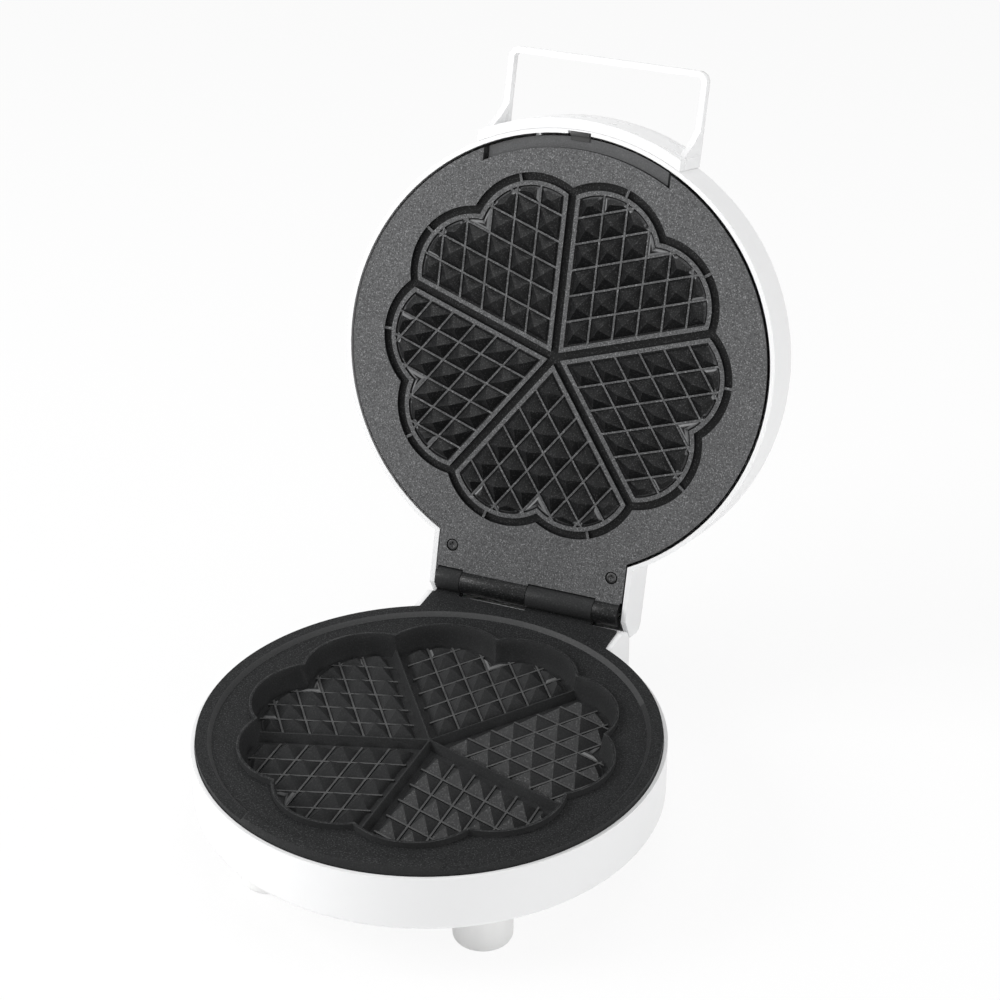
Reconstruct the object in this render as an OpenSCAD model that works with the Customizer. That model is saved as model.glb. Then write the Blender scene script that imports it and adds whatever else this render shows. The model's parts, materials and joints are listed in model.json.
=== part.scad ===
// Round heart-waffle maker: a base bowl and a hinged lid, each with a cast baking plate,
// shown with the lid resting on its open stop. X is across, -Y is the front, Z is up.

/* [Body] */
// Outer radius of the base bowl
body_r = 102; // [101.6:0.1:102.8]
// Height of the base bowl, underside to white rim
body_h = 26.2; // [25.6:0.1:30]
// Wall of both plastic housings
wall = 2.4; // [1.8:0.1:2.6]
// Radius along the bottom edge of the bowl
body_edge_r = 3; // [1:0.5:4]
// Half width of the hinge shoulders of both housings
shoulder_half_w = 49; // [48:0.1:50.5]
// How far the base shoulder reaches behind the hinge axis
base_shoulder_back = 3; // [2:0.1:3.3]
// Radius over the top rear edge of the base shoulder
base_shoulder_r = 11; // [10.4:0.1:11.3]

/* [Feet] */
// Height of the feet
foot_h = 25.2; // [18:0.1:30]
// Radius of a foot
foot_r = 12.65; // [9:0.05:13]
// Radius of the rounded bottom edge of a foot
foot_edge_r = 2.2; // [1:0.1:4]
// Distance of the front feet from the centre line
front_foot_x = 49; // [40:1:54]
// Distance of the front feet in front of the middle
front_foot_y = 57.6; // [50:0.1:62]
// Distance of the rear feet from the centre line
rear_foot_x = 34; // [24:1:35]
// Distance of the rear feet in front of the hinge axis
rear_foot_in = 16; // [15:0.5:18]

/* [Baking plates] */
// Width of the white rim round the base plate
rim_w = 2; // [1.7:0.1:2.4]
// Thickness of the plate flanges
plate_t = 3.1; // [2.8:0.1:3.4]
// Rise of the plate ring over the white rim
ring_rise = 2.6; // [2.3:0.1:3]
// Width of the flat top of the ring
ring_w = 5; // [4:0.5:6]
// Step from the ring down to the flat of the plate
ring_step = 1.9; // [1.5:0.1:2.2]
// Height of the raised front segment over the ring
segment_h = 2; // [1:0.1:2.2]
// Half angle of the raised front segment
segment_half_deg = 26; // [20:1:30]
// Gap between the ring and the lid plate when closed
closed_gap = 0.5; // [0.4:0.1:0.8]
// Thickness of the lid plate behind the hearts
lid_plate_t = 4.5; // [4:0.1:5]
// How far the plate tails stop short of the sides of the shoulders
tail_side = 3; // [2.8:0.1:3.4]

/* [Hearts] */
// Flat between the ring and the hearts
heart_margin = 10.7; // [10.3:0.1:11.2]
// Radius of a lobe at the outer edge of the lid groove
lobe_r = 32.1; // [31.6:0.1:32.6]
// Width of the groove round the hearts in the lid plate
groove_w = 3.7; // [3.2:0.1:4]
// Depth of the groove
groove_d = 2.5; // [2:0.1:2.8]
// Width of the bars that bridge the groove
bridge_w = 1.2; // [0.8:0.1:2]
// Flat band between the groove and the cells
band_w = 2; // [1.5:0.1:2.5]
// Thickness of the lip round the base hearts, at its top
lip_w = 1.2; // [1:0.1:1.6]
// Rise of the lip over the ring
lip_rise = 0.8; // [0.4:0.1:1.2]
// Depth of the base hearts below the ring
heart_d = 10.5; // [9.8:0.1:11]
// Draft of the heart walls, bottom to top
heart_draft = 1.5; // [0.5:0.1:2]
// Distance between the ribs of the grid
cell_pitch = 11.2; // [11:0.1:11.6]
// Width of the ribs of the grid
rib_w = 0.9; // [0.7:0.1:1.4]
// Height of the ribs of the grid
rib_h = 1; // [0.6:0.1:1.4]
// Number of rows of cells along each side of a heart
cell_rows = 6; // [4:1:6]

/* [Hinge] */
// Distance of the hinge axis behind the bowl
axis_out = 11; // [10.5:0.1:11.5]
// Height of the hinge axis over the ring
axis_rise = 2.8; // [2.6:0.1:3.2]
// Radius of the hinge barrel
barrel_r = 5.6; // [5:0.1:5.8]
// How far the hinge barrel stops short of the sides of the shoulders
barrel_side = 4; // [3.5:0.1:6]
// Length of the two short knuckles
knuckle_short = 12; // [8:0.5:16]
// Gap between neighbouring knuckles
knuckle_gap = 0.3; // [0.2:0.1:0.8]
// Radius of the hinge pin
pin_r = 2; // [1.5:0.1:3]
// Radial clearance of the pin in the lid knuckles
pin_clear = 0.05; // [0.02:0.01:0.1]
// Angle of the lid at its open stop
open_deg = 106; // [90:0.5:106]

/* [Lid] */
// How far the lid stands out over the bowl
lid_overhang = 1; // [0.6:0.1:1.5]
// Width of the rim of the lid
lid_rim_w = 2; // [1.8:0.1:2.4]
// Height of the lid over the ring when closed
lid_h = 32; // [29:0.5:36]
// Radius over the top edge of the lid
lid_edge_r = 5; // [2:0.5:8]
// Gap between the lid plate and the rim of the lid
lid_plate_gap = 1.4; // [0.6:0.1:1.6]
// Thickness of the handle collar
collar_t = 4.6; // [4:0.1:6]
// How far the handle collar reaches past the arms of the handle
collar_side = 0.5; // [0.5:0.1:2]
// Height of the handle collar over the ring when closed
collar_h = 30; // [28:0.5:31]
// Height of the lid shoulder over the ring when closed
lid_shoulder_h = 24; // [20:0.5:26]
// How far the lid shoulder reaches behind the hinge axis
lid_shoulder_back = 12; // [11.8:0.1:12.6]

/* [Handle] */
// How far the handle stands out from its collar
handle_out = 25.9; // [20:0.1:34]
// Thickness of the handle band
handle_t = 2.7; // [2.4:0.1:4]
// Depth of the handle band
handle_d = 5; // [4.5:0.5:8]
// Half width of the handle at its outer bar
handle_half_w = 47.5; // [44:0.5:47.5]
// Outer corner radius of the handle
handle_corner_r = 5; // [4:0.5:8]
// How far each gusset runs out under its arm
gusset_run = 11; // [6:1:16]
// Height over the ring where each gusset starts
gusset_low = 6; // [4:1:12]

/* [Fittings] */
// Radius of the heating tubes
element_r = 3.3; // [3:0.1:4]
// Radius of the heating loops
element_loop_r = 55; // [45:1:60]
// Radius of the heat reflectors
reflector_r = 69; // [64:1:70]
// Thickness of the heat reflectors
reflector_t = 0.8; // [0.5:0.1:1]
// Head radius of the lid plate screws
screw_head_r = 2.35; // [2:0.05:2.8]
// Shank radius of the lid plate screws
screw_shank_r = 1.5; // [1.2:0.1:1.8]
// Distance of the lid plate screws from the sides of the plate tail
screw_side = 6.5; // [5:0.5:10]
// Distance of the lid plate screws in front of the hinge axis
screw_in = 17; // [15:0.5:20]
// Radius of the cord hole in the gland
cord_r = 3.4; // [3:0.1:4]
// Height of the gland over the underside of the bowl
gland_rise = 9; // [8.8:0.1:10]
// Radius of the lamp lenses in the lid
lens_r = 3.5; // [2.5:0.1:5]
// Distance of each lamp lens from the centre line
lens_x = 8; // [6:0.5:12]

/* [Hidden] */
$fn = 60;
eps = 0.2;
far = 300;

// Radii and depths that follow from the bowl
plate_r = body_r - rim_w;
lid_r = body_r + lid_overhang;
rim_in_r = lid_r - lid_rim_w;
lid_plate_r = rim_in_r - lid_plate_gap;
collar_r = lid_r + collar_t;
handle_reach = collar_r + handle_out;
axis_back = body_r + axis_out;
rear_foot_y = axis_back - rear_foot_in;
screw_y = axis_back - screw_in;
lobe_pitch_r = plate_r - ring_w - heart_margin - lobe_r;

// Widths that follow from the hinge shoulders and the handle
tail_half_w = shoulder_half_w - tail_side;
barrel_half_l = shoulder_half_w - barrel_side;
screw_x = tail_half_w - screw_side;
collar_half_w = handle_half_w + collar_side;

// Levels, measured from the floor
rim_z = foot_h + body_h;
ring_z = rim_z + ring_rise;
flat_z = ring_z - ring_step;
flange_z = flat_z - plate_t;
lip_z = ring_z + lip_rise;
heart_z = ring_z - heart_d;
floor_t = 3;
lower_boss_z = heart_z - floor_t;
axis_z = ring_z + axis_rise;
face_z = ring_z + closed_gap;
lid_back_z = face_z + lid_plate_t;
lid_top_z = ring_z + lid_h;
inner_floor_z = foot_h + wall;
lid_inner_z = lid_top_z - wall;

// Hearts
heart_count = 5;
half_heart = 180 / heart_count;
lobe_deg = half_heart / 2;
divider_half = groove_w / 2;
island_lobe_r = lobe_r - groove_w;
field_side = divider_half + band_w;
field_lobe_r = island_lobe_r - band_w;
lip_mid_r = lobe_r - groove_w / 2;
lip_out_r = lip_mid_r + lip_w / 2;
heart_lobe_r = lip_mid_r - lip_w / 2;
boss_lobe_r = lip_out_r + 2;
cell_h = (cell_pitch - rib_w) / 2;

// The groove of the lid plate is wider than the lip of the base plate, so the lip enters it freely
tail_gap = 0.5;
plate_gap = 0.4;
tail_end = axis_back - barrel_r - tail_gap;
seat = 0.05;

// Middle of the part from front to back, with the lid open
tip_a = -handle_reach - axis_back;
tip_b = lid_top_z - axis_z;
rear_y = axis_back + tip_a * cos(open_deg) + tip_b * sin(open_deg);
mid_y = (rear_y - body_r) / 2;

module placed() { translate([0, -mid_y, 0]) children(); }

// Turns what is drawn for the closed lid about the hinge, to the open stop
module on_lid() {
    placed() translate([0, axis_back, axis_z]) rotate([-open_deg, 0, 0])
        translate([0, -axis_back, -axis_z]) children();
}

module each_heart() {
    for (i = [0 : heart_count - 1]) rotate([0, 0, -90 + half_heart + 2 * half_heart * i]) children();
}

module slab(z0, z1) { translate([0, 0, z0]) linear_extrude(z1 - z0) children(); }

function on_ray(r, deg) = [r * cos(deg), r * sin(deg)];

// The middle of a heart, between its two straight sides and its two lobe centres
module heart_middle() {
    foot = lobe_pitch_r * cos(lobe_deg);
    polygon([[0, 0], on_ray(foot, -half_heart), on_ray(lobe_pitch_r, -lobe_deg),
        on_ray(lobe_pitch_r, lobe_deg), on_ray(foot, half_heart)]);
}

module heart_sector(side) {
    tip = side / sin(half_heart);
    translate([tip, 0]) polygon([[0, 0], on_ray(far, -half_heart), on_ray(far, half_heart)]);
}

// Outline of one heart: side is the inset of the straight sides, r the lobe radius
module heart_2d(side, r) {
    intersection() {
        heart_sector(side);
        union() {
            heart_middle();
            for (s = [-1, 1]) translate(on_ray(lobe_pitch_r, s * lobe_deg)) circle(r);
        }
    }
}

lobe_count = 2 * heart_count;
// All lobes and the middle as one flower
module flower_2d(r) {
    circle(lobe_pitch_r, $fn = lobe_count);
    for (i = [0 : lobe_count - 1]) translate(on_ray(lobe_pitch_r, i * 360 / lobe_count)) circle(r);
}

cell_sink = 0.5;
cell_valley = -0.1;
cell_foot = 0.35;
// A row of roof ridges along one straight side of a heart; its valleys lie under the ribs
module ridge_row() {
    first = field_side + cell_foot;
    outline = [for (k = [0 : cell_rows - 1], p = [
        [field_side + (k + 0.5) * cell_pitch, cell_h],
        [field_side + (k + 1) * cell_pitch, k == cell_rows - 1 ? -cell_sink : cell_valley]]) p];
    rotate([0, 0, -half_heart]) rotate([90, 0, 90]) linear_extrude(far)
        polygon(concat([[first, -cell_sink]], outline));
}

// Pyramids where two ridge rows cross, with sloping ends along the lobes
module pyramid_field() {
    foot_r = field_lobe_r - cell_foot + cell_sink;
    rise = cell_h + cell_sink + 1;
    intersection() {
        ridge_row();
        mirror([0, 1, 0]) ridge_row();
        union() {
            slab(-cell_sink, cell_h + 1) heart_middle();
            for (s = [-1, 1]) translate(concat(on_ray(lobe_pitch_r, s * lobe_deg), [-cell_sink]))
                cylinder(h = rise, r1 = foot_r, r2 = foot_r - rise);
        }
    }
}

// Thin ribs between the cells; their ends reach into what borders the cells
rib_reach = 0.3;
rib_drop = 0.1;
module rib_grid_2d() {
    intersection() {
        heart_2d(field_side - rib_reach, field_lobe_r + rib_reach);
        union() for (s = [0, 1], k = [1 : cell_rows - 1])
            mirror([0, s]) rotate(-half_heart)
                translate([0, field_side + k * cell_pitch - rib_w / 2]) square([far, rib_w]);
    }
}

// Barrel knuckles from x0 to x1
module knuckle(x0, x1) {
    translate([x0, axis_back, axis_z]) rotate([0, 90, 0]) cylinder(r = barrel_r, h = x1 - x0);
}

// Knuckle spans, left to right: short and long belong to the base and the lid in turn
long_split = barrel_half_l - knuckle_short;
base_spans = [[-barrel_half_l, -long_split - knuckle_gap / 2],
    [knuckle_gap / 2, long_split - knuckle_gap / 2]];
lid_spans = [[-long_split + knuckle_gap / 2, -knuckle_gap / 2],
    [long_split + knuckle_gap / 2, barrel_half_l]];

module pin_bore(r) {
    translate([-barrel_half_l - 1, axis_back, axis_z]) rotate([0, 90, 0])
        cylinder(r = r, h = 2 * barrel_half_l + 2);
}

foot_spots = [[-front_foot_x, -front_foot_y], [front_foot_x, -front_foot_y],
    [-rear_foot_x, rear_foot_y], [rear_foot_x, rear_foot_y]];

/* Base */

gland_z = foot_h + gland_rise;
gland_r = cord_r + 2;
base_back = axis_back + base_shoulder_back;
base_shoulder_z = rim_z - base_shoulder_r;
shoulder_front = 70;
shoulder_edge_r = 3;
ledge_w = 4;
ledge_h = 4;
stud_r = 4;
stud_in = 9;
stud_spots = [for (a = [-90, 30, 150]) on_ray(plate_r - stud_in, a)];
foot_stud_h = 6;
stud_hole_r = 1.6;

// Side outline of the base shoulder, grown or shrunk by t, with y across and z up
module base_shoulder_side(t) {
    y1 = base_back - t;
    edge = shoulder_edge_r - t;
    translate([shoulder_front, foot_h + t])
        square([y1 - shoulder_front - base_shoulder_r + t, body_h - 2 * t]);
    translate([shoulder_front, foot_h + t + edge])
        square([y1 - shoulder_front, base_shoulder_z - foot_h - t - edge]);
    translate([y1 - edge, foot_h + t + edge]) circle(edge);
    translate([y1 - base_shoulder_r + t, base_shoulder_z]) circle(base_shoulder_r - t);
}

module along_x(half_w) {
    translate([-half_w, 0, 0]) rotate([90, 0, 90]) linear_extrude(2 * half_w) children();
}

module bowl_solid(r, z0, z1, edge) {
    rotate_extrude() {
        translate([0, z0 + edge]) square([r, z1 - z0 - edge]);
        translate([0, z0]) square([r - edge, edge + eps]);
        translate([r - edge, z0 + edge]) circle(edge);
    }
}

module lower_housing() {
    plate_seat_r = plate_r + plate_gap;
    color("white") placed() difference() {
        union() {
            difference() {
                union() {
                    bowl_solid(body_r, foot_h, rim_z, body_edge_r);
                    along_x(shoulder_half_w) base_shoulder_side(0);
                }
                // hollow inside, below the ledge that carries the plate
                bowl_solid(body_r - wall, inner_floor_z, flange_z - ledge_h, 1);
                translate([0, 0, flange_z - ledge_h - eps])
                    cylinder(r = body_r - wall - ledge_w, h = ledge_h + 1);
                along_x(shoulder_half_w - wall) intersection() {
                    base_shoulder_side(wall);
                    square([far, flange_z - wall]);
                }
            }
            for (p = foot_spots) translate([p[0], p[1], inner_floor_z - eps])
                cylinder(r = stud_r, h = foot_stud_h);
            for (p = stud_spots) translate([p[0], p[1], inner_floor_z - eps])
                cylinder(r = stud_r, h = flange_z - stud_top_gap - inner_floor_z + eps);
        }
        // seat of the plate, its tail and the hinge barrel
        translate([0, 0, flange_z]) cylinder(r = plate_seat_r, h = far);
        translate([-tail_half_w - plate_gap / 2, 0, flange_z]) cube([2 * tail_half_w + plate_gap, far, far]);
        translate([-barrel_half_l - 1, axis_back, axis_z]) rotate([0, 90, 0])
            cylinder(r = barrel_r + tail_gap, h = 2 * barrel_half_l + 2);
        // screws from below, foot screws and gland hole
        for (p = stud_spots) translate([p[0], p[1], foot_h - 1]) {
            cylinder(r = stud_hole_r, h = far);
            cylinder(r = plate_screw_head_r + 0.3, h = 1 + screw_sink);
        }
        for (p = foot_spots) translate([p[0], p[1], foot_h - 1]) cylinder(r = stud_hole_r, h = far);
        translate([0, base_back - wall - 5, gland_z]) rotate([-90, 0, 0])
            cylinder(r = gland_r + seat, h = 20);
    }
}

stud_top_gap = seat;
plate_screw_head_r = 2.8;
screw_sink = 2;
foot_hole_r = 1.2;

module feet() {
    color("white") placed() for (p = foot_spots) translate([p[0], p[1], 0]) difference() {
        rotate_extrude() {
            translate([0, foot_edge_r]) square([foot_r, foot_h - foot_edge_r - seat]);
            square([foot_r - foot_edge_r, foot_edge_r + eps]);
            translate([foot_r - foot_edge_r, foot_edge_r]) circle(foot_edge_r);
        }
        translate([0, 0, foot_h - foot_screw_in]) cylinder(r = foot_hole_r, h = far);
    }
}

foot_screw_in = 12;

// Pan-head screw with its head up and a cross recess; z is the underside of the head
module pan_screw(r, head_r, head_h, length) {
    difference() {
        union() {
            cylinder(r = head_r, h = head_h);
            translate([0, 0, -length]) cylinder(r = r, h = length + eps);
        }
        for (a = [0, 90]) rotate([0, 0, a])
            translate([-head_r * 0.6, -0.35, head_h / 2]) cube([head_r * 1.2, 0.7, head_h]);
    }
}

module foot_screws() {
    color("silver") placed() for (p = foot_spots)
        translate([p[0], p[1], inner_floor_z + foot_stud_h + seat])
            pan_screw(foot_hole_r - seat, 3, 2, wall + foot_stud_h + foot_screw_in - 1);
}

ring_in_r = plate_r - ring_w;
tail_web = 9;

// Flower-shaped cavity with drafted lobe walls; the dividers are added to it afterwards
module flower_cavity() {
    slab(heart_z, lip_z + 1) circle(lobe_pitch_r, $fn = lobe_count);
    for (i = [0 : lobe_count - 1])
        translate(concat(on_ray(lobe_pitch_r, i * 360 / lobe_count), [heart_z])) cylinder(
            h = 2 * (lip_z - heart_z), r1 = heart_lobe_r - heart_draft, r2 = heart_lobe_r + heart_draft);
}

// Distance from the middle to where two neighbouring lobes of radius r meet
function cleft(r) = lobe_pitch_r * cos(lobe_deg) + sqrt(r * r - pow(lobe_pitch_r * sin(lobe_deg), 2));

divider_top_half = 0.35;
divider_drop = 6.3;
// Ridge between two hearts: wide at the heart floor and narrow at the top
module divider() {
    height = ring_z - divider_drop - heart_z + eps;
    rotate([0, 0, -90]) translate([0, 0, heart_z - eps]) rotate([90, 0, 90]) linear_extrude(cleft(lip_mid_r))
        polygon([[-divider_half, 0], [-divider_top_half, height], [divider_top_half, height],
            [divider_half, 0]]);
}

module lower_plate() {
    color("#26282a") placed() difference() {
        union() {
            difference() {
                union() {
                    // flange, ring with a sloping inner edge, and tail
                    translate([0, 0, flange_z]) cylinder(r = plate_r, h = plate_t);
                    difference() {
                        translate([0, 0, flange_z]) cylinder(r = plate_r, h = ring_z - flange_z);
                        translate([0, 0, flat_z]) cylinder(r1 = ring_in_r - ring_step, r2 = ring_in_r,
                            h = ring_step + eps);
                    }
                    front_segment();
                    slab(lower_boss_z, flat_z) flower_2d(boss_lobe_r);
                    slab(flange_z, lip_z) flower_2d(lip_out_r);
                    translate([-tail_half_w, 0, flange_z]) cube([2 * tail_half_w, tail_end, plate_t]);
                    for (s = base_spans) {
                        knuckle(s[0], s[1]);
                        translate([s[0], tail_end - tail_web, flange_z])
                            cube([s[1] - s[0], axis_back - tail_end + tail_web, plate_t]);
                    }
                }
                flower_cavity();
            }
            for (i = [0 : heart_count - 1]) rotate([0, 0, 2 * half_heart * i]) divider();
            // hub where the dividers meet
            translate([0, 0, heart_z - eps]) cylinder(r1 = divider_half + 0.9, r2 = divider_top_half + 0.6,
                h = ring_z - divider_drop - heart_z + 2 * eps);
            each_heart() {
                translate([0, 0, heart_z]) pyramid_field();
                slab(heart_z - eps, heart_z + rib_h) rib_grid_2d();
            }
        }
        pin_bore(pin_r + pin_clear);
        for (p = stud_spots) translate([p[0], p[1], flange_z - 1]) cylinder(r = stud_hole_r - 0.2, h = 3);
    }
}

// Wedge-ended block over the front of the ring, grown by g
module front_block(g) {
    half_w = plate_r * sin(segment_half_deg) + g;
    low = 0.6;
    translate([0, 0, ring_z]) rotate([90, 0, 0]) linear_extrude(far) polygon([[-half_w - low, -low],
        [half_w + low, -low], [half_w - segment_h, segment_h + g], [segment_h - half_w, segment_h + g]]);
}

// Raised front part of the ring, with ramps at its ends
module front_segment() {
    intersection() {
        front_block(0);
        translate([0, 0, ring_z - 1]) difference() {
            cylinder(r = plate_r, h = segment_h + 2);
            translate([0, 0, -1]) cylinder(r = ring_in_r + 0.6, h = segment_h + 4);
        }
    }
}

module lower_plate_screws() {
    color("silver") placed() for (p = stud_spots)
        translate([p[0], p[1], foot_h + screw_sink - 0.1]) mirror([0, 0, 1])
            pan_screw(stud_hole_r - 0.2 - seat, plate_screw_head_r, 1.7,
                flange_z + 1.5 - foot_h - screw_sink);
}

// Heating loop with its two cold ends; it lies on a plate at height z, on side s of it
cold_deg = 40;
cold_l = 14;
terminal_r = 1.2;
terminal_l = 6;
module heating_loop(z, s) {
    translate([0, 0, z + s * (element_r + seat)]) {
        difference() {
            rotate_extrude() translate([element_loop_r, 0]) circle(element_r);
            translate([0, 0, -far / 2]) linear_extrude(far)
                polygon([[0, 0], on_ray(far, 90 - cold_deg / 2), on_ray(far, 90 + cold_deg / 2)]);
        }
        for (a = [90 - cold_deg / 2, 90 + cold_deg / 2]) rotate([0, 0, a]) {
            translate([element_loop_r - element_r * 0.5, 0, 0]) rotate([0, 90, 0])
                cylinder(r = element_r * 0.9, h = cold_l);
            translate([element_loop_r + cold_l - element_r, 0, 0]) rotate([0, 90, 0])
                cylinder(r = terminal_r, h = terminal_l);
        }
    }
}

module lower_element() { color("dimgray") placed() heating_loop(lower_boss_z, -1); }

// Straps over the heating loop, with a foot on each side that lies on the plate
clamp_w = 10;
clamp_t = 1.2;
clamp_wing = 5;
module element_clamps(z, s) {
    tube = 2 * element_r + 2 * seat;
    for (a = [0, 180, -90]) rotate([0, 0, a]) translate([element_loop_r, 0, 0])
        for (side = [-1, 1]) {
            x0 = side * (element_r + 0.5);
            translate([min(x0, x0 + side * clamp_t), -clamp_w / 2, min(z, z + s * tube)])
                cube([clamp_t, clamp_w, tube]);
            translate([min(x0, x0 + side * clamp_wing), -clamp_w / 2, s > 0 ? z + seat : z - seat - clamp_t])
                cube([clamp_wing, clamp_w, clamp_t]);
            translate([min(x0 + side * clamp_t, 0), -clamp_w / 2, s > 0 ? z + tube : z - tube - clamp_t])
                cube([element_r + 0.5 + clamp_t, clamp_w, clamp_t]);
        }
}

module lower_element_clamps() { color("silver") placed() element_clamps(lower_boss_z, -1); }

reflector_gap = 0.1;
lower_reflector_z = lower_boss_z - 2 * element_r - 2 * seat - clamp_t - reflector_gap - reflector_t;
upper_reflector_z = lid_back_z + 2 * element_r + 2 * seat + clamp_t + reflector_gap;
device_hole_r = 12;
terminal_slot = [48, 22];

// Dish with its flat side from z0 up and its standing rim over z1 to z2
module dish(z0, z1, z2, hole_r) {
    difference() {
        union() {
            translate([0, 0, z0]) cylinder(r = reflector_r, h = reflector_t);
            translate([0, 0, z1]) difference() {
                cylinder(r = reflector_r, h = z2 - z1);
                translate([0, 0, -1]) cylinder(r = reflector_r - reflector_t, h = z2 - z1 + 2);
            }
        }
        translate([0, 0, z0 - 1]) cylinder(r = hole_r, h = reflector_t + 2);
        translate([-terminal_slot[0] / 2, element_loop_r - 7, z1 - 1])
            cube([terminal_slot[0], terminal_slot[1], z2 - z1 + 2]);
    }
}

module lower_reflector() {
    z = lower_reflector_z;
    color("lightgray") placed() dish(z, z, lower_boss_z - seat, device_hole_r);
}

// Bimetal thermostat: a can with a flange, pressed on the middle of the plate
module thermostat() {
    color("tan") placed() {
        translate([0, 0, lower_boss_z - seat - 1]) cylinder(r = 9.5, h = 1);
        translate([0, 0, lower_boss_z - 8]) cylinder(r = 8, h = 7.01);
        for (x = [-4, 4]) translate([x - 0.4, -3, lower_boss_z - 11]) cube([0.8, 6, 3.01]);
    }
}

fuse_x = 28;
fuse_r = 2;
// Thermal fuse lying along the plate, with its two lead stubs
module thermal_fuse() {
    color("lightgray") placed() translate([fuse_x, 0, lower_boss_z - fuse_r - seat]) rotate([90, 0, 0]) {
        cylinder(r = fuse_r, h = 12, center = true);
        cylinder(r = 0.5, h = 24, center = true);
    }
}

block_w = 24;
block_d = 12;
block_h = 9;
pole_pitch = 7.5;
block_in = 21;
block_y = axis_back - block_in;
// Three-pole terminal block on the floor of the bowl, near the gland
module terminal_block() {
    color("ivory") placed() difference() {
        translate([-block_w / 2, block_y - block_d / 2, inner_floor_z + seat])
            cube([block_w, block_d, block_h]);
        for (x = [-pole_pitch, 0, pole_pitch]) {
            translate([x, block_y - block_d, inner_floor_z + block_h / 2]) rotate([-90, 0, 0])
                cylinder(r = 1.6, h = 2 * block_d);
            translate([x, block_y, inner_floor_z + block_h / 2]) cylinder(r = 1.8, h = far);
        }
    }
}

gland_flange = 2;
gland_flange_w = 1.6;
gland_lip = 0.5;
// Rubber gland in the rear wall, with the round hole for the cord
module cord_gland() {
    color("#202020") placed() translate([0, base_back, gland_z]) rotate([90, 0, 0]) difference() {
        union() {
            translate([0, 0, -gland_flange - seat]) cylinder(r = gland_r + gland_flange_w, h = gland_flange);
            translate([0, 0, -gland_flange]) cylinder(r = gland_r, h = gland_flange + wall + 1);
            translate([0, 0, wall + seat]) cylinder(r = gland_r + gland_lip, h = 1.5);
        }
        translate([0, 0, -gland_flange - 1]) cylinder(r = cord_r, h = far);
    }
}

module hinge_pin() {
    color("silver") placed() translate([-barrel_half_l + 0.5, axis_back, axis_z]) rotate([0, 90, 0])
        cylinder(r = pin_r, h = 2 * barrel_half_l - 1);
}

lead_r = 1.1;
lead_lift = 1.6;
lead_run = 70;
// Insulated leads from the terminal block to the element ends, laid on the floor of the bowl
module base_leads() {
    z = inner_floor_z + lead_r + seat + lead_lift;
    y0 = block_y - block_d / 2 - seat;
    color("firebrick") placed() for (x = [-pole_pitch, pole_pitch]) translate([x, y0 - lead_run, z])
        rotate([-90, 0, 0]) cylinder(r = lead_r, h = lead_run);
}

/* Lid, drawn closed */

lid_back_y = axis_back + lid_shoulder_back;
lid_shoulder_z = ring_z + lid_shoulder_h;
slant_y = axis_back + 2.5;
slant_z = axis_z + 7.2;

module lid_shoulder_side(t) {
    y1 = lid_back_y - t;
    z1 = lid_shoulder_z - t;
    r = lid_edge_r - t / 2;
    difference() {
        union() {
            translate([shoulder_front, face_z]) square([y1 - r - shoulder_front, z1 - face_z]);
            translate([shoulder_front, face_z]) square([y1 - shoulder_front, z1 - r - face_z]);
            translate([y1 - r, z1 - r]) circle(r);
        }
        polygon([[slant_y, face_z - 1], [slant_y, face_z], [lid_back_y, slant_z], [far, slant_z],
            [far, face_z - 1]]);
    }
}

module dome_solid(r, z0, z1, edge) {
    rotate_extrude() {
        translate([0, z0]) square([r, z1 - z0 - edge]);
        translate([0, z1 - edge - eps]) square([r - edge, edge + eps]);
        translate([r - edge, z1 - edge]) circle(edge);
    }
}

lens_y = -60;
lid_post_spots = [[-screw_x, screw_y], [screw_x, screw_y]];
lid_post_r = 4.2;
clip_half_w = 5.5;
handle_screw_rise = 16;
handle_screw_z = ring_z + handle_screw_rise;
handle_screw_r = 1.3;
handle_screw_angles = [-104, -76];
collar_in_r = lid_r + 0.1;

module upper_housing() {
    color("white") on_lid() difference() {
        union() {
            difference() {
                union() {
                    dome_solid(lid_r, face_z, lid_top_z, lid_edge_r);
                    along_x(shoulder_half_w) lid_shoulder_side(0);
                }
                dome_solid(rim_in_r, face_z - 1, lid_inner_z, lid_edge_r - 1);
                along_x(shoulder_half_w - wall) translate([shoulder_front - 30, face_z - 1])
                    square([lid_back_y - wall - shoulder_front + 30, lid_shoulder_z - wall - face_z + 1]);
                // room for the hinge barrel behind the tail of the plate
                translate([-shoulder_half_w + wall, axis_back - 8, face_z - 1])
                    cube([2 * (shoulder_half_w - wall), far, slant_z - face_z + 1]);
            }
            for (p = lid_post_spots) translate([p[0], p[1], lid_post_z])
                cylinder(r = lid_post_r, h = lid_shoulder_z - wall - lid_post_z + eps);
        }
        for (p = lid_post_spots) translate([p[0], p[1], 0])
            cylinder(r = screw_shank_r, h = lid_shoulder_z - wall);
        // notch for the front clip and the lamp windows
        translate([-clip_half_w, -rim_in_r - 1.2, face_z - 1]) cube([2 * clip_half_w, 4, 3.5]);
        for (x = [-lens_x, lens_x]) translate([x, lens_y, lid_inner_z - 1])
            cylinder(r = lens_r + seat, h = far);
        for (a = handle_screw_angles) rotate([0, 0, a]) translate([rim_in_r - 2, 0, handle_screw_z])
            rotate([0, 90, 0]) cylinder(r = handle_screw_r + 0.2, h = 9);
    }
}

lid_post_z = face_z + plate_t + seat;
arm_z = lid_top_z - handle_d;

// Outline with two rounded corners towards -Y, open to +Y
module handle_round(hw, y0, r) {
    translate([-hw + r, y0]) square([2 * (hw - r), far]);
    translate([-hw, y0 + r]) square([2 * hw, far]);
    for (s = [-1, 1]) translate([s * (hw - r), y0 + r]) circle(r);
}

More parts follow.
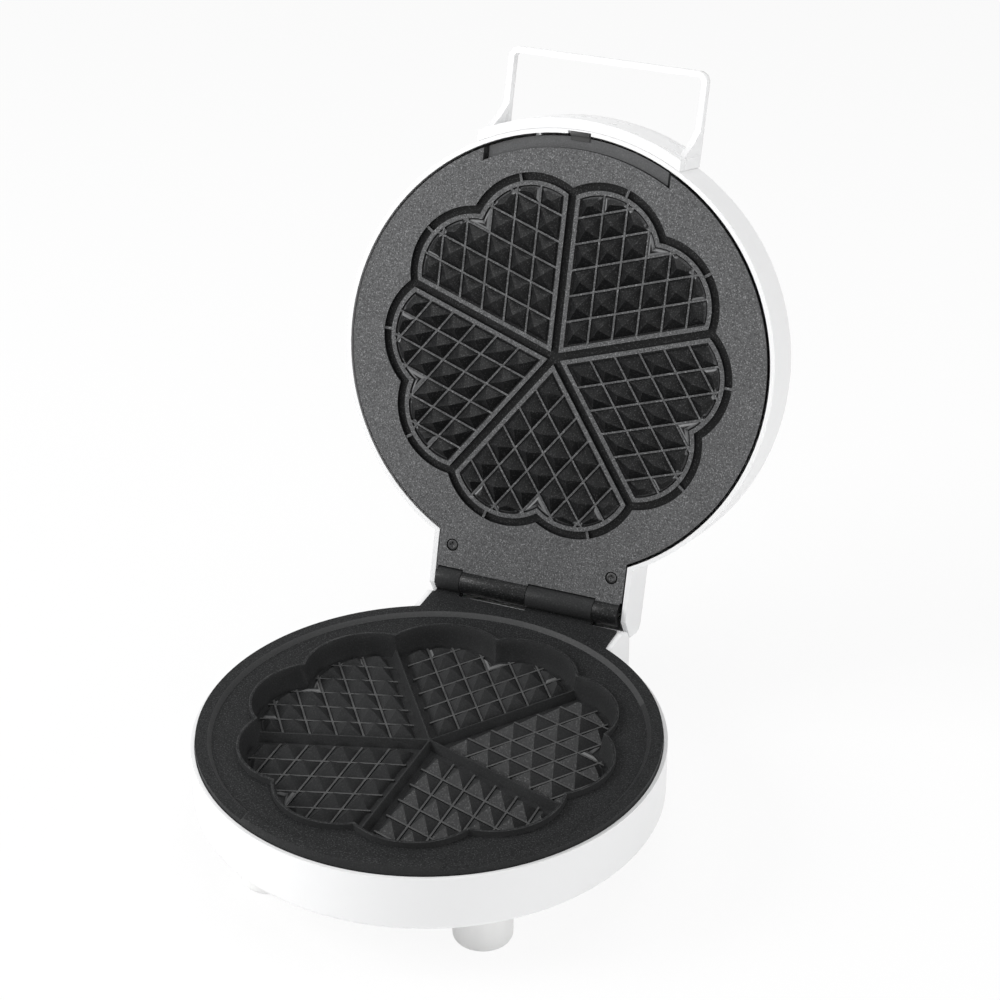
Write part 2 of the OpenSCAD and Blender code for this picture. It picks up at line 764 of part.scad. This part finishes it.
// One arm root seen from the side: the collar front is at y
module gusset_side(y) {
    z = ring_z + gusset_low;
    polygon([[y + 6, z], [y, z], [y - gusset_run * 0.45, z + (arm_z - z) * 0.55], [y - gusset_run, arm_z],
        [y - gusset_run, arm_z + 1], [y + 6, arm_z + 1]]);
}

module handle() {
    root_y = -sqrt(collar_r * collar_r - handle_half_w * handle_half_w);
    color("white") on_lid() difference() {
        union() {
            intersection() {
                dome_solid(collar_r, face_z, ring_z + collar_h, 2);
                translate([-collar_half_w, -far, 0]) cube([2 * collar_half_w, far, far]);
            }
            difference() {
                slab(arm_z, lid_top_z) difference() {
                    handle_round(handle_half_w, -handle_reach, handle_corner_r);
                    handle_round(handle_half_w - handle_t, -handle_reach + handle_t,
                        handle_corner_r - handle_t);
                }
                translate([-far, root_y + 3, 0]) cube(2 * far);
            }
            for (x = [-handle_half_w, handle_half_w - handle_t]) translate([x, 0, 0])
                rotate([90, 0, 90]) linear_extrude(handle_t) gusset_side(root_y);
        }
        translate([0, 0, face_z - 1]) cylinder(r = collar_in_r, h = far);
        for (a = handle_screw_angles) rotate([0, 0, a]) translate([rim_in_r, 0, handle_screw_z])
            rotate([0, 90, 0]) cylinder(r = handle_screw_r, h = collar_r - rim_in_r - 1.5);
    }
}

module handle_screws() {
    color("silver") on_lid() for (a = handle_screw_angles) rotate([0, 0, a])
        translate([rim_in_r - 0.1, 0, handle_screw_z]) rotate([0, -90, 0])
            pan_screw(handle_screw_r - seat, 2.5, 1.5, collar_r - rim_in_r - 2);
}

module lid_recess() {
    difference() {
        front_block(recess_clear);
        cylinder(r = ring_in_r - 0.6, h = far);
    }
}

recess_clear = 0.8;
plate_screw_l = 11;
lip_clear = 0.3;
screw_sink_r = screw_head_r + 0.6;

module upper_plate() {
    color("#26282a") on_lid() difference() {
        union() {
            difference() {
                union() {
                    translate([0, 0, face_z]) cylinder(r = lid_plate_r, h = plate_t);
                    slab(face_z, lid_back_z) flower_2d(lobe_r + 2);
                    intersection() {
                        slab(face_z, lid_back_z) difference() {
                            circle(lid_plate_r);
                            circle(ring_in_r - 5);
                        }
                        translate([-far / 2, -far, 0])
                            cube([far, far - plate_r * cos(segment_half_deg) + 15, far]);
                    }
                    translate([-tail_half_w, 0, face_z]) cube([2 * tail_half_w, tail_end, plate_t]);
                    for (s = lid_spans) {
                        knuckle(s[0], s[1]);
                        translate([s[0], tail_end - tail_web, face_z])
                            cube([s[1] - s[0], axis_back - tail_end + tail_web, plate_t]);
                    }
                }
                lid_recess();
                // groove round the flower and between the hearts
                difference() {
                    slab(face_z - 1, face_z + groove_d) flower_2d(lobe_r);
                    each_heart() slab(face_z - 2, lid_back_z) heart_2d(divider_half, island_lobe_r);
                    each_heart() for (s = [-1, 1]) rotate([0, 0, s * lobe_deg])
                        translate([lobe_pitch_r + island_lobe_r - 1, -bridge_w / 2, lip_z + lip_clear])
                            cube([groove_w + 2, bridge_w, far]);
                }
                // cell pockets
                each_heart() slab(face_z - 1, face_z + rib_h) heart_2d(field_side, field_lobe_r);
            }
            each_heart() {
                translate([0, 0, face_z + rib_h]) mirror([0, 0, 1]) pyramid_field();
                slab(face_z + rib_drop, face_z + rib_h + eps) rib_grid_2d();
            }
        }
        pin_bore(pin_r + pin_clear);
        for (p = lid_post_spots) translate([p[0], p[1], face_z - 1]) {
            cylinder(r = screw_shank_r + 0.2, h = plate_t + 2);
            cylinder(r = screw_sink_r, h = 1 + 1.6);
        }
    }
}

module upper_plate_screws() {
    color("silver") on_lid() for (p = lid_post_spots)
        translate([p[0], p[1], face_z + 1.6 - seat]) mirror([0, 0, 1])
            pan_screw(screw_shank_r - seat, screw_head_r, 1.4, plate_screw_l);
}

clip_t = 0.5;
clip_reach = 2.5;
clip_stem = 1.6;
// Spring clip that holds the front of the lid plate: a tongue under the plate and a lip in the notch
module front_clip() {
    w = 2 * clip_half_w - 2;
    tongue_z = ring_z + segment_h + recess_clear - seat - clip_t;
    lip_low_z = face_z + clip_t;
    color("silver") on_lid() translate([-w / 2, -rim_in_r - 0.9, 0]) {
        translate([0, 0, tongue_z]) cube([w, clip_reach + lid_plate_gap, clip_t]);
        translate([0, 0, lip_low_z]) cube([w, clip_stem, tongue_z + clip_t - lip_low_z]);
    }
}

module upper_element() { color("dimgray") on_lid() heating_loop(lid_back_z, 1); }

module upper_element_clamps() { color("silver") on_lid() element_clamps(lid_back_z, 1); }

module upper_reflector() {
    z = upper_reflector_z;
    color("lightgray") on_lid() dish(z, lid_back_z + seat, z + reflector_t, device_hole_r / 3);
}

// Lamp lens: a domed cap in the lid with a collar inside
module lens() {
    translate([0, 0, lid_inner_z - 1.2]) cylinder(r = lens_r + 1, h = 1.2 - seat);
    translate([0, 0, lid_inner_z - 1.2]) cylinder(r = lens_r, h = wall + 1.2);
    intersection() {
        translate([0, 0, lid_top_z - 4]) sphere(r = 5.2);
        translate([0, 0, lid_top_z - eps]) cylinder(r = lens_r, h = 2);
    }
}

module power_lamp_lens() { color("red") on_lid() translate([-lens_x, lens_y, 0]) lens(); }

module ready_lamp_lens() { color("green") on_lid() translate([lens_x, lens_y, 0]) lens(); }

lamp_r = 2.2;
// Neon lamps standing behind the lenses
module neon_lamps() {
    color("orange") on_lid() for (x = [-lens_x, lens_x]) translate([x, lens_y, lid_inner_z - 1.2 - seat - 8])
        cylinder(r = lamp_r, h = 8);
}

// Leads of the lamps, down to the reflector
module lid_leads() {
    z0 = upper_reflector_z + reflector_t + seat;
    z1 = lid_inner_z - 1.2 - seat - 8 - seat;
    color("firebrick") on_lid() for (x = [-lens_x, lens_x]) translate([x, lens_y, z0])
        cylinder(r = lead_r, h = z1 - z0);
}

lower_housing();
feet();
foot_screws();
lower_plate();
lower_plate_screws();
lower_element();
lower_element_clamps();
lower_reflector();
thermostat();
thermal_fuse();
terminal_block();
cord_gland();
hinge_pin();
base_leads();
upper_housing();
handle();
handle_screws();
upper_plate();
upper_plate_screws();
front_clip();
upper_element();
upper_element_clamps();
upper_reflector();
power_lamp_lens();
ready_lamp_lens();
neon_lamps();
lid_leads();
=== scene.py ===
# %% [markdown]
# # Dressing a heart-waffle maker
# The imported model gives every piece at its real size, in metres, with +X across, -Y to the
# front and +Z up. Nothing here moves or resizes it. We soften edges, give each piece the
# finish of its real material, and set up a small photo studio round it.

import json
import math

import bmesh
import bpy
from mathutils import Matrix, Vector

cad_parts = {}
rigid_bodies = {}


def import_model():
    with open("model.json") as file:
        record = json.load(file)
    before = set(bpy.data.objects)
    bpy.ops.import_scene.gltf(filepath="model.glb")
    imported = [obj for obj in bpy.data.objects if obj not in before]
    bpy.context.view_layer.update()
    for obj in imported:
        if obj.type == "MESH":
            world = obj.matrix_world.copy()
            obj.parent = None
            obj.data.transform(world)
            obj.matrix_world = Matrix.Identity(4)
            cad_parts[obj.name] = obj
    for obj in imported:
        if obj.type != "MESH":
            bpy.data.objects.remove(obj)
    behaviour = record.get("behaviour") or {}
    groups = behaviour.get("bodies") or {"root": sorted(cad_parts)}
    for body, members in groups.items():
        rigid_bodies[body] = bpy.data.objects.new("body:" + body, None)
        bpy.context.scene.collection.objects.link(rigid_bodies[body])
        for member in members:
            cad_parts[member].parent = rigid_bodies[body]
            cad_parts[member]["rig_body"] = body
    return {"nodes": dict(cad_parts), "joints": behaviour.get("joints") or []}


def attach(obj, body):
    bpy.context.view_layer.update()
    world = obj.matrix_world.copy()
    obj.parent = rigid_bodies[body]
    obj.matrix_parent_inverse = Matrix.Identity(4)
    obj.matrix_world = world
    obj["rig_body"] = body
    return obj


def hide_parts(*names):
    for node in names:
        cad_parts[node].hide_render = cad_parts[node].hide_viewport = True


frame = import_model()
nodes = frame["nodes"]
body_of_node = {name: node["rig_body"] for name, node in nodes.items()}
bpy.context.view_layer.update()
MM = 0.001

# %% [markdown]
# ## Camera
# A table-top product is usually shot with a long lens from a little above, so its circles
# stay calm ellipses. We aim the camera with a track quaternion, because two points are
# easier to read than three angles.

# %% Camera
CAMERA_AT = Vector((0.3728, -0.8706, 0.6657))
CAMERA_LOOKS_AT = Vector((0.03267, -0.0535, 0.1725))
LENS_MM = 90.94
SENSOR_MM = 36.0

camera_data = bpy.data.cameras.new("studio_camera")
camera_data.sensor_width = SENSOR_MM
camera_data.sensor_fit = "HORIZONTAL"
camera_data.lens = LENS_MM
camera_data.clip_start = 0.05
camera_data.clip_end = 50
camera = bpy.data.objects.new("studio_camera", camera_data)
bpy.context.scene.collection.objects.link(camera)
camera.location = CAMERA_AT
camera.rotation_euler = (CAMERA_LOOKS_AT - CAMERA_AT).to_track_quat("-Z", "Y").to_euler()
bpy.context.scene.camera = camera
print("camera is", round((CAMERA_LOOKS_AT - CAMERA_AT).length, 3), "m from its target")

# %% [markdown]
# ## A small language for shader maths
# Wiring Math nodes by hand hides what they mean. One class wraps an output socket, so that
# `0.3 + mask * 0.16` can be written as an expression and adds its own Math nodes. Colours and
# normals don't go through it, because a Math node turns a colour grey.


# %% Socket values
class Value:
    def __init__(self, sheet, socket):
        self.sheet = sheet
        self.socket = socket

    def math(self, operation, first, second):
        return self.sheet.node("ShaderNodeMath", {"operation": operation}, {0: first, 1: second})

    def __add__(self, other):
        return self.math("ADD", self, other)

    def __mul__(self, other):
        return self.math("MULTIPLY", self, other)

    __radd__ = __add__
    __rmul__ = __mul__


print("Value knows + and *, also with a plain number on the left")


# %% Sheets of nodes
class Sheet:
    """One material or world, and the only place where nodes are made."""

    def __init__(self, owner):
        owner.use_nodes = True
        self.tree = owner.node_tree
        self.tree.nodes.clear()

    def node(self, kind, settings=None, sockets=None, out=0):
        made = self.tree.nodes.new(kind)
        for key, value in (settings or {}).items():
            setattr(made, key, value)
        for key, value in (sockets or {}).items():
            if isinstance(value, Value):
                self.tree.links.new(value.socket, made.inputs[key])
            elif value is not None:
                made.inputs[key].default_value = value
        return Value(self, made.outputs[out]) if made.outputs else None

    def place(self):
        return self.node("ShaderNodeTexCoord", out="Object")

    def noise(self, size, detail=3.0, stretch=(1, 1, 1)):
        """Soft noise whose blobs are about this size, in metres."""
        stretched = self.node("ShaderNodeMapping", {}, {"Vector": self.place(), "Scale": stretch})
        return self.node("ShaderNodeTexNoise", {"noise_dimensions": "3D"},
                         {"Vector": stretched, "Scale": 1 / size, "Detail": detail})

    def mask(self, value, low, high):
        return self.node("ShaderNodeMapRange", {"clamp": True},
                         {"Value": value, "From Min": low, "From Max": high})

    def blend(self, factor, first, second):
        """Mix of two colours; A and B of the colour type are sockets 6 and 7."""
        return self.node("ShaderNodeMix", {"data_type": "RGBA"},
                         {0: factor, 6: first, 7: second}, out=2)

    def bumps(self, height, depth, below=None):
        return self.node("ShaderNodeBump", {}, {"Height": height, "Distance": depth,
                                                "Strength": 1.0, "Normal": below})

    def sees_background(self):
        """1 for what the camera sees directly, and in metal or glass."""
        ray = {name: self.node("ShaderNodeLightPath", out=f"Is {name} Ray")
               for name in ("Camera", "Glossy", "Transmission")}
        return self.node("ShaderNodeMath", {"operation": "ADD", "use_clamp": True}, {
            0: ray["Camera"] + ray["Glossy"], 1: ray["Transmission"]})


def rgb(red, green, blue):
    return (red, green, blue, 1.0)


print("a sheet can add noise, masks, colour blends and bumps")

# %% [markdown]
# ## Glossy white mouldings
# Both housings, the handle and the feet are one injection-moulded white plastic. It is never
# one flat colour: it has a slow drift of tone, a trace of handling haze in its gloss, a very
# fine orange peel from the mould, and a few specks of dust.


# %% White plastic
def white_plastic(name, tone=(0.86, 0.862, 0.866), gloss=0.3):
    material = bpy.data.materials.new(name)
    sheet = Sheet(material)
    drift = sheet.noise(60 * MM)
    haze = sheet.noise(9 * MM, detail=5.0)
    peel = sheet.noise(1.6 * MM, detail=1.5)
    dust = sheet.mask(sheet.noise(0.7 * MM, detail=1.0), 0.70, 0.76)
    body = sheet.blend(drift, rgb(*[c * 0.98 for c in tone]), rgb(*tone))
    dusty = sheet.blend(dust * 0.10, body, rgb(0.55, 0.54, 0.52))
    roughness = gloss - 0.05 + haze * 0.14
    normal = sheet.bumps(peel, 0.012 * MM)
    shader = sheet.node("ShaderNodeBsdfPrincipled", {}, {
        "Base Color": dusty, "Roughness": roughness, "IOR": 1.48,
        "Coat Weight": 0.18 + haze * 0.1, "Coat Roughness": 0.12, "Normal": normal})
    sheet.node("ShaderNodeOutputMaterial", {}, {"Surface": shader})
    return material


housing_white = white_plastic("housing_white")
handle_white = white_plastic("handle_white", tone=(0.87, 0.872, 0.876), gloss=0.27)
foot_white = white_plastic("foot_white", tone=(0.83, 0.83, 0.825), gloss=0.36)
print("made", housing_white.name, handle_white.name, foot_white.name)

# %% [markdown]
# ## Non-stick coating
# The cast plates are sprayed with a dark coating. Seen close it is a fine sandy skin with
# tiny pale flecks, and use leaves soft clouds in its gloss. Its tone is also painted light
# and shade, chosen by which way a face looks and how deep it lies. On the lid the flats and
# the floor of the recess get paler tones as painted light, while the steep cell faces, the
# barrel and the bottoms of the grooves get painted shade, near black. On the base the tops of
# the ribs get painted light, paler than the flats and cell faces. The flats are also rougher.
# The softened rims beside the flats and ribs get a painted highlight. The object normal
# against the plate's own direction finds the flats and the softened rims beside them, and the
# object coordinate along it finds the height at which they lie.
# The lid stands open at rest, so its flats look forward and slightly up. Their distance is
# taken from the hinge, and each band reaches a little past the faces that it finds.

# %% Coating
BAND_FADE = 0.2 * MM


def coating(name, faces, flat_band, low_band, flat_tone, low_tone, steep_tone, gloss, sand_depth):
    """faces is the way the flats look at rest; each band is a pair of distances along it.
    The low band holds the tops of the ribs, or the floor of the recess."""
    material = bpy.data.materials.new(name)
    sheet = Sheet(material)

    def along(coordinate):
        return sheet.node("ShaderNodeVectorMath", {"operation": "DOT_PRODUCT"},
                          {0: sheet.node("ShaderNodeTexCoord", out=coordinate), 1: faces},
                          out="Value")

    def within(band):
        low, high = band
        above = sheet.mask(along("Object"), low - BAND_FADE, low)
        return above * sheet.mask(along("Object"), high + BAND_FADE, high)

    square_on = along("Normal")
    level = sheet.mask(square_on, 0.92, 0.99)
    rim = sheet.mask(square_on, 0.74, 0.81) * sheet.mask(square_on, 0.99, 0.90)
    flat = level * within(flat_band)
    low_flat = level * within(low_band)
    # Painted highlight: the softened rims beside the flats and the rib tops are marked here to be
    # painted paler.
    rim_highlight = rim * (within(flat_band) + within(low_band))

    cloud = sheet.noise(22 * MM, detail=4.0)
    sand = sheet.noise(0.8 * MM, detail=2.0)
    coarse = sheet.noise(2.4 * MM, detail=2.0)
    fleck = sheet.mask(sheet.noise(0.6 * MM, detail=0.0), 0.62, 0.72)

    def clouded(tone):
        return sheet.blend(cloud, rgb(*[c * 0.82 for c in tone]), rgb(*[c * 1.2 for c in tone]))

    # Painted light and shade: each face takes a tone by which way it looks and how deep it lies, so
    # flats, rib tops and the recess floor differ from steep faces and groove bottoms.
    body = sheet.blend(low_flat, sheet.blend(flat, clouded(steep_tone), clouded(flat_tone)),
                       clouded(low_tone))
    grained = sheet.blend(sheet.mask(sand, 0.55, 0.38) * (flat * 0.45 + 0.15), body,
                          rgb(*[c * 0.3 for c in flat_tone]))
    flecked = sheet.blend(fleck * (flat * 0.4 + 0.08), grained, rgb(*[c * 3 for c in flat_tone]))
    # Painted highlight: the marked rims are blended towards a pale tone.
    highlighted = sheet.blend(rim_highlight * 0.7, flecked, rgb(*[c * 2.4 for c in low_tone]))
    roughness = 0.30 + flat * 0.16 + cloud * 0.08 + sand * 0.08
    normal = sheet.bumps(sand + coarse * 0.5, sand_depth)
    shader = sheet.node("ShaderNodeBsdfPrincipled", {}, {
        "Base Color": highlighted, "Roughness": roughness, "IOR": 1.45, "Specular IOR Level": gloss,
        "Coat Weight": fleck * 0.15, "Coat Roughness": 0.3, "Normal": normal})
    sheet.node("ShaderNodeOutputMaterial", {}, {"Surface": shader})
    return material


lid_hinge = frame["joints"][0]
HINGE = Vector(lid_hinge["pos_m"])
LID_OPEN = math.radians(lid_hinge["range_deg"][1])
FACE_PAST_HINGE = 2.3 * MM
LID_FACES = Vector((0.0, -math.sin(LID_OPEN), -math.cos(LID_OPEN)))
LID_FACE = HINGE.dot(LID_FACES) + FACE_PAST_HINGE
LID_FLATS = (LID_FACE - 0.6 * MM, LID_FACE + 0.3 * MM)
LID_RECESS = (LID_FACE - 2.28 * MM, LID_FACE - 2.0 * MM)
BASE_FACES = Vector((0, 0, 1))
BASE_FLATS = (50 * MM, 56 * MM)
BASE_RIBS = (44.1 * MM, 44.8 * MM)
# The tones paint light and shade: on the lid the flats and recess floor are pale, and the steep faces
# and groove bottoms near black; on the base the rib tops are pale.
lid_coating = coating("lid_coating", LID_FACES, LID_FLATS, LID_RECESS, (0.105, 0.106, 0.108),
                      (0.11, 0.111, 0.113), (0.006, 0.0062, 0.0065), 0.2, 0.12 * MM)
base_coating = coating("base_coating", BASE_FACES, BASE_FLATS, BASE_RIBS,
                       (0.021, 0.0215, 0.022), (0.085, 0.0855, 0.086), (0.028, 0.0285, 0.029),
                       0.06, 0.14 * MM)
print("made", lid_coating.name, base_coating.name)

# %% [markdown]
# ## Metal, rubber, ceramic and lens finishes
# Small fittings share one recipe with different numbers: a base tone with slow stains, a
# grain that can be drawn out along one axis as on rolled sheet, and scuffed edges. Sharing
# the recipe keeps them related, and each still reads as its own material.


# %% Fittings
def fitting(name, tone, stain, metallic, gloss, grain=1.2 * MM, depth=0.01 * MM,
            stretch=(1, 1, 1), coat=0.0):
    material = bpy.data.materials.new(name)
    sheet = Sheet(material)
    clouds = sheet.noise(7 * MM, detail=4.0)
    texture = sheet.noise(grain, detail=3.0, stretch=stretch)
    edge = sheet.mask(sheet.node("ShaderNodeNewGeometry", out="Pointiness"), 0.52, 0.62)
    body = sheet.blend(sheet.mask(clouds, 0.35, 0.7), rgb(*tone), rgb(*stain))
    scuffed = sheet.blend(edge * 0.4, body, rgb(*[min(1.0, c * 1.5 + 0.05) for c in tone]))
    roughness = gloss - 0.06 + texture * 0.16 + clouds * 0.06
    normal = sheet.bumps(texture, depth)
    shader = sheet.node("ShaderNodeBsdfPrincipled", {}, {
        "Base Color": scuffed, "Metallic": metallic, "Roughness": roughness,
        "Coat Weight": coat, "Normal": normal})
    sheet.node("ShaderNodeOutputMaterial", {}, {"Surface": shader})
    return material


ROLLED = (1, 0.08, 1)
zinc = fitting("zinc_plated", (0.62, 0.63, 0.65), (0.5, 0.5, 0.5), 1.0, 0.3)
blackened = fitting("blackened_steel", (0.05, 0.05, 0.052), (0.09, 0.09, 0.09), 0.8, 0.32)
phosphated = fitting("phosphated_spring", (0.02, 0.02, 0.02), (0.035, 0.035, 0.034), 0.2, 0.4)
ground = fitting("ground_steel", (0.6, 0.6, 0.61), (0.5, 0.49, 0.48), 1.0, 0.22, stretch=ROLLED)
sheet_metal = fitting("bright_sheet", (0.8, 0.8, 0.81), (0.66, 0.64, 0.6), 1.0, 0.2, stretch=ROLLED)
hot_tube = fitting("heat_stained_tube", (0.3, 0.28, 0.26), (0.2, 0.15, 0.12), 0.9, 0.42)
strap = fitting("pressed_strap", (0.58, 0.58, 0.58), (0.42, 0.38, 0.33), 1.0, 0.34)
ceramic = fitting("ceramic_can", (0.68, 0.6, 0.48), (0.58, 0.5, 0.4), 0.0, 0.62, depth=0.02 * MM)
fuse_can = fitting("fuse_can", (0.66, 0.65, 0.62), (0.5, 0.48, 0.45), 1.0, 0.3)
ivory = fitting("ivory_block", (0.76, 0.73, 0.64), (0.7, 0.66, 0.56), 0.0, 0.5)
gland_rubber = fitting("gland_rubber", (0.03, 0.03, 0.03), (0.05, 0.048, 0.046), 0.0, 0.6,
                       depth=0.03 * MM)
red_sleeve = fitting("red_sleeve", (0.5, 0.05, 0.04), (0.4, 0.04, 0.03), 0.0, 0.45)
red_lens = fitting("red_lens", (0.55, 0.02, 0.015), (0.45, 0.015, 0.01), 0.0, 0.15, coat=0.6)
green_lens = fitting("green_lens", (0.03, 0.36, 0.08), (0.02, 0.28, 0.06), 0.0, 0.15, coat=0.6)
lamp_glass = fitting("lamp_glass", (0.85, 0.5, 0.3), (0.75, 0.42, 0.26), 0.0, 0.12, coat=0.5)
print("made", len(bpy.data.materials), "finishes so far")

# %% [markdown]
# ## Dressed copies
# CAD edges are razor sharp, and no casting or moulding is. Each visible node is copied, its
# flat facets are joined, and its sharp edges get a narrow bevel that catches light. A bevel
# modifier does this on a copy, because the CAD mesh itself has to stay as it is. It is applied
# at once, so that edges can be marked sharp by their angle afterwards: broad faces then keep
# flat shading beside smooth bevels and round walls. Without that, each corner of a broad face
# would take a little of its bevel's normal, and the face would show smudges. A face counts as
# broad when its area over its outline is above BROAD, and a smaller angle then ends its
# shading. FLAT_DEG joins the facets of one plane, and SHARP_DEG is where the bevel begins.

# %% Soften one node
SHARP_DEG = 28.0
CREASE_DEG = 25.0
BROAD_CREASE_DEG = 8.0
BROAD = 0.8 * MM
FLAT_DEG = 0.4
WELD = 0.002 * MM


def mark_creases(mesh):
    """A face with a large area for its outline keeps its own flat shading."""
    work = bmesh.new()
    work.from_mesh(mesh)
    for face in work.faces:
        face.smooth = True
    for edge in work.edges:
        if len(edge.link_faces) == 2:
            width = max(face.calc_area() / (face.calc_perimeter() + WELD) for face in edge.link_faces)
            limit = BROAD_CREASE_DEG if width > BROAD else CREASE_DEG
            edge.smooth = edge.calc_face_angle(0.0) < math.radians(limit)
    work.to_mesh(mesh)
    work.free()


def dressed(node, material, soften, rounds=2):
    source = nodes[node]
    mesh = bpy.data.meshes.new(node + "_dressed")
    work = bmesh.new()
    work.from_mesh(source.data)
    bmesh.ops.remove_doubles(work, verts=work.verts, dist=WELD)
    bmesh.ops.dissolve_limit(work, angle_limit=math.radians(FLAT_DEG), verts=work.verts,
                             edges=work.edges)
    work.to_mesh(mesh)
    work.free()
    mesh.materials.clear()
    mesh.materials.append(material)
    piece = bpy.data.objects.new(node + "_dressed", mesh)
    bpy.context.scene.collection.objects.link(piece)
    bevel = piece.modifiers.new("edge", "BEVEL")
    bevel.width = soften
    bevel.segments = rounds
    bevel.limit_method = "ANGLE"
    bevel.angle_limit = math.radians(SHARP_DEG)
    bevel.use_clamp_overlap = True
    bevel.miter_outer = "MITER_SHARP"
    bpy.context.view_layer.update()
    depsgraph = bpy.context.evaluated_depsgraph_get()
    softened = bpy.data.meshes.new_from_object(piece.evaluated_get(depsgraph))
    piece.modifiers.clear()
    piece.data = softened
    mark_creases(softened)
    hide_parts(node)
    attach(piece, body_of_node[node])
    print(node, "->", len(softened.polygons), "faces")
    return piece


# %% [markdown]
# ## White mouldings in place
# The large mould radii are already in the model. The widths here only break the edges that
# are left sharp, and the handle's are the tightest, because its arms and gussets are thin.

# %% Mouldings
HOUSING_EDGE = 0.35 * MM
HANDLE_EDGE = 0.08 * MM
FOOT_EDGE = 0.4 * MM
dressed("lower_housing", housing_white, HOUSING_EDGE)
dressed("upper_housing", housing_white, HOUSING_EDGE)
dressed("handle", handle_white, HANDLE_EDGE)
dressed("feet", foot_white, FOOT_EDGE)

# %% [markdown]
# ## Baking plates in place
# A casting's ribs and pyramids have a small radius that comes from the mould and from the
# coating itself. It lets the edges of the pyramids and ribs catch a little light.

# %% Plates
CAST_EDGE = 0.22 * MM
dressed("lower_plate", base_coating, CAST_EDGE)
dressed("upper_plate", lid_coating, CAST_EDGE)

# %% [markdown]
# ## Small fittings in place
# Screws, gland, clip and lenses are small but close to the eye, so they are softened too.
# The inner pieces can't be seen from above or from the sides: they keep their CAD meshes and
# get their finish in their material slots.

# %% Fittings that show
FITTING_EDGE = 0.12 * MM
for node, material in {
    "upper_plate_screws": blackened,
    "lower_plate_screws": zinc,
    "front_clip": phosphated,
    "cord_gland": gland_rubber,
    "power_lamp_lens": red_lens,
    "ready_lamp_lens": green_lens,
    "hinge_pin": ground,
}.items():
    dressed(node, material, FITTING_EDGE)

# %% Inner pieces
for node, material in {
    "foot_screws": zinc,
    "handle_screws": zinc,
    "lower_element": hot_tube,
    "upper_element": hot_tube,
    "lower_element_clamps": strap,
    "upper_element_clamps": strap,
    "lower_reflector": sheet_metal,
    "upper_reflector": sheet_metal,
    "thermostat": ceramic,
    "thermal_fuse": fuse_can,
    "terminal_block": ivory,
    "base_leads": red_sleeve,
    "lid_leads": red_sleeve,
    "neon_lamps": lamp_glass,
}.items():
    slots = nodes[node].data.materials
    slots.clear()
    slots.append(material)
print("every CAD node has a finish")

# %% [markdown]
# ## Floor and light
# White on white needs care: the floor is pale by its own colour, and what the camera sees of
# it is mixed with plain white, so that the ground reads as a bright sweep and still keeps a
# soft contact shadow. Metal and gloss see that same white. Four large soft lamps model the
# form. They are set for the front view with the lid open, and they are still too strong for
# the white mouldings: the collar's top and the left front foot clip to white there, and with
# the lid closed so does most of its top, seen from behind.

# %% Floor
FLOOR_RADIUS = 6.0
FLOOR_WHITE_SHARE = 0.90
FLOOR_DROP = 0.05 * MM

floor_mesh = bpy.data.meshes.new("studio_floor")
work = bmesh.new()
bmesh.ops.create_circle(work, cap_ends=True, radius=FLOOR_RADIUS, segments=96)
work.to_mesh(floor_mesh)
work.free()
floor = bpy.data.objects.new("studio_floor", floor_mesh)
bpy.context.scene.collection.objects.link(floor)
floor.location.z = -FLOOR_DROP
floor_material = bpy.data.materials.new("studio_floor")
paper = Sheet(floor_material)
fibre = paper.noise(3 * MM)
matt = paper.node("ShaderNodeBsdfDiffuse", {}, {
    "Color": paper.blend(fibre, rgb(0.88, 0.88, 0.88), rgb(0.9, 0.9, 0.9))})
white = paper.node("ShaderNodeEmission", {}, {"Color": rgb(1, 1, 1), "Strength": 1.0})
seen = paper.sees_background()
paper.node("ShaderNodeOutputMaterial", {}, {"Surface": paper.node(
    "ShaderNodeMixShader", {}, {0: seen * FLOOR_WHITE_SHARE, 1: matt, 2: white})})
floor_mesh.materials.append(floor_material)
print("floor of radius", FLOOR_RADIUS)

# %% [markdown]
# The world does the same: it lights the scene weakly, and it is plain white only where the
# camera, metal or glass sees it.

# %% World
WORLD_LEVEL = 0.20

world = bpy.data.worlds.new("studio_world")
bpy.context.scene.world = world
air = Sheet(world)
lighting = air.node("ShaderNodeBackground", {}, {"Color": rgb(1, 1, 1), "Strength": WORLD_LEVEL})
backdrop = air.node("ShaderNodeBackground", {}, {"Color": rgb(1, 1, 1), "Strength": 1.0})
air.node("ShaderNodeOutputWorld", {}, {"Surface": air.node(
    "ShaderNodeMixShader", {}, {0: air.sees_background(), 1: lighting, 2: backdrop})})
print("world level", WORLD_LEVEL)

# %% Lamps
LAMPS = {
    # name: place, target, width, height, watts; lengths in metres
    "top_softbox": ((0.10, 0.10, 1.55), (0, 0, 0.10), 1.3, 1.0, 8.5),
    "left_softbox": ((-1.30, -0.75, 1.05), (0, 0, 0.12), 0.9, 0.9, 27.0),
    "front_fill": ((0.75, -1.60, 0.70), (0, 0, 0.12), 0.9, 0.6, 7.5),
    "right_fill": ((1.60, 0.20, 0.60), (0, 0, 0.15), 0.9, 0.9, 8.5),
}
for name, (place, target, width, height, watts) in LAMPS.items():
    data = bpy.data.lights.new(name, "AREA")
    data.shape = "RECTANGLE"
    data.size = width
    data.size_y = height
    data.energy = watts
    lamp = bpy.data.objects.new(name, data)
    bpy.context.scene.collection.objects.link(lamp)
    lamp.location = place
    aim = Vector(target) - Vector(place)
    lamp.rotation_euler = aim.to_track_quat("-Z", "Y").to_euler()
print("lamps:", ", ".join(LAMPS))

bpy.context.scene.view_settings.view_transform = "Standard"
print("view transform is Standard")
